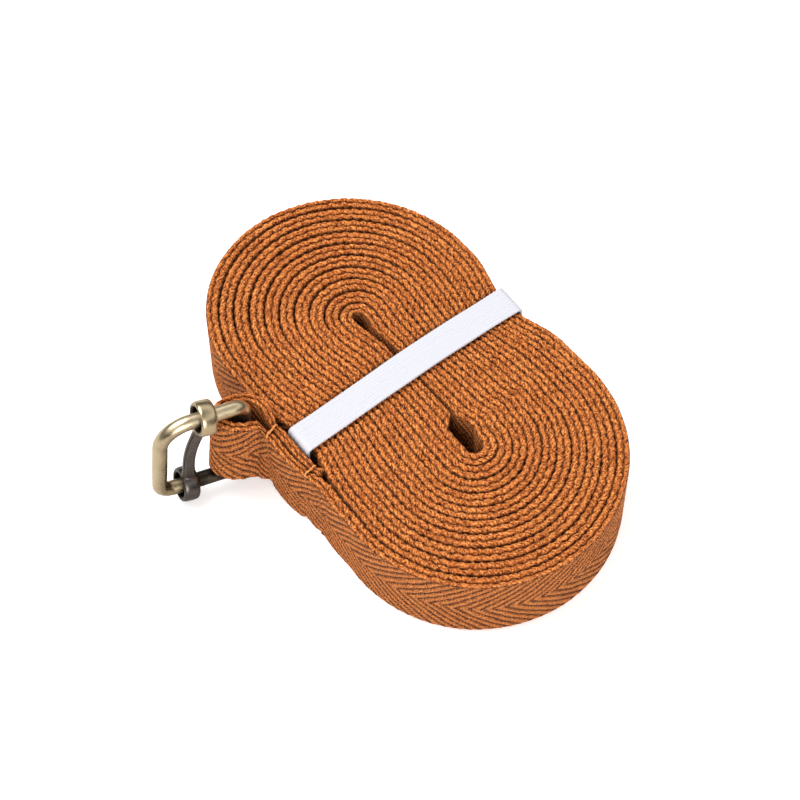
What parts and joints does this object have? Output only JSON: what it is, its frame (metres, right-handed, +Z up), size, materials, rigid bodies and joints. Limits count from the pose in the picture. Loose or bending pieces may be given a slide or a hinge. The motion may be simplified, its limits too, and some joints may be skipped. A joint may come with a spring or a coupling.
{
  "type": "stretching strap",
  "caption": "Long flat cotton exercise strap wound on edge into an oblong coil, held by an elastic band, with a cinch buckle in the sewn loop at its end.",
  "frame": {"origin": "on the table, under the middle of the whole strap's overall box", "axes": "+Z up, across the webbing's width; +X from the small lobe of the coil to the large one; +Y away from the buckle"},
  "size_m": [0.1268, 0.1044, 0.0392],
  "materials": {
    "webbing": "copper-coloured cotton herringbone webbing",
    "thread": "copper-coloured sewing thread",
    "elastic": "white ribbed woven elastic",
    "antique_brass": "antique brass plating, dark in the recesses, burnished on the high spots",
    "gunmetal": "dark gunmetal plating with burnished rings"
  },
  "bodies": {
    "coil": {"webbing_coil": "webbing", "elastic_band": "elastic", "elastic_stitch": "elastic"},
    "tail": {"webbing_tail": "webbing", "loop_seam": "thread", "end_seam": "thread"},
    "frame": {"buckle_frame": "antique_brass"},
    "slide": {"slide_bar": "gunmetal"}
  },
  "joints": [
    {"name": "tail_flex", "type": "hinge", "parent": "coil", "child": "tail", "pos_m": [0.01, -0.0232, 0.0125], "axis": [0, 0, 1], "range_deg": [0, 60]},
    {"name": "frame_pivot", "type": "hinge", "parent": "tail", "child": "frame", "pos_m": [-0.01706, -0.02938, 0.0037], "axis": [0.0226, 0.0842, 0.9962], "range_deg": [-60, 60]},
    {"name": "bar_slide", "type": "slide", "parent": "frame", "child": "slide", "axis": [-0.2578, -0.9623, 0.0872], "range_m": [0, 0.003]}
  ]
}
